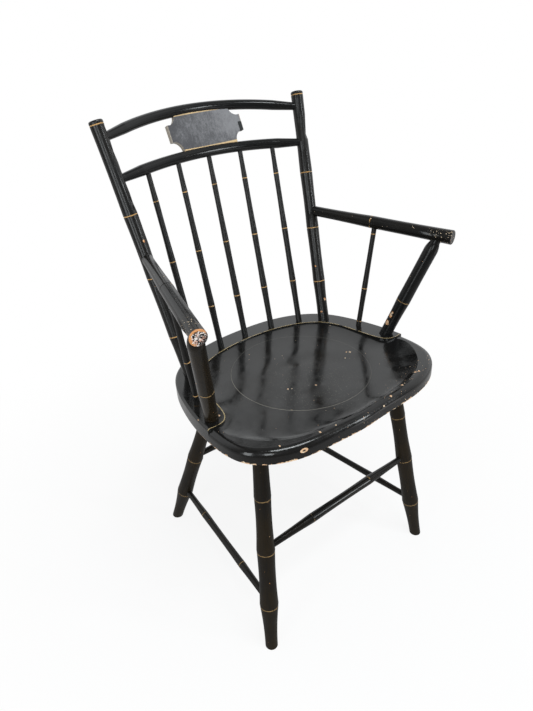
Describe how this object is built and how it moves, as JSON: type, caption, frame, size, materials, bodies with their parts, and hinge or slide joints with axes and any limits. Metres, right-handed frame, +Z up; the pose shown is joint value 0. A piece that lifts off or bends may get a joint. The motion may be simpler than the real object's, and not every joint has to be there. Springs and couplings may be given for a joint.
{
  "type": "windsor armchair",
  "caption": "Painted wooden armchair with a plank seat, bamboo turned legs and spindles, bent double back rails and a small scooped tablet.",
  "frame": {"origin": "on the floor under the middle of the chair's bounding box", "axes": "+Z up, the sitter faces -Y, +X is to the right seen from the front"},
  "size_m": [0.5276, 0.4525, 0.8339],
  "materials": {
    "seat_paint": "satin black paint over wood",
    "turning_paint": "satin black paint over wood",
    "tablet_paint": "satin black paint over wood"
  },
  "bodies": {
    "root": {"seat": "seat_paint", "front_left_leg": "turning_paint", "front_right_leg": "turning_paint", "rear_left_leg": "turning_paint", "rear_right_leg": "turning_paint", "front_stretcher": "turning_paint", "rear_stretcher": "turning_paint", "left_side_stretcher": "turning_paint", "right_side_stretcher": "turning_paint", "left_back_post": "turning_paint", "right_back_post": "turning_paint", "crest_rail": "turning_paint", "lower_back_rail": "turning_paint", "back_tablet": "tablet_paint", "back_spindle_1": "turning_paint", "back_spindle_2": "turning_paint", "back_spindle_3": "turning_paint", "back_spindle_4": "turning_paint", "back_spindle_5": "turning_paint", "left_arm": "turning_paint", "left_arm_support": "turning_paint", "left_arm_spindle": "turning_paint", "right_arm": "turning_paint", "right_arm_support": "turning_paint", "right_arm_spindle": "turning_paint"}
  },
  "joints": []
}
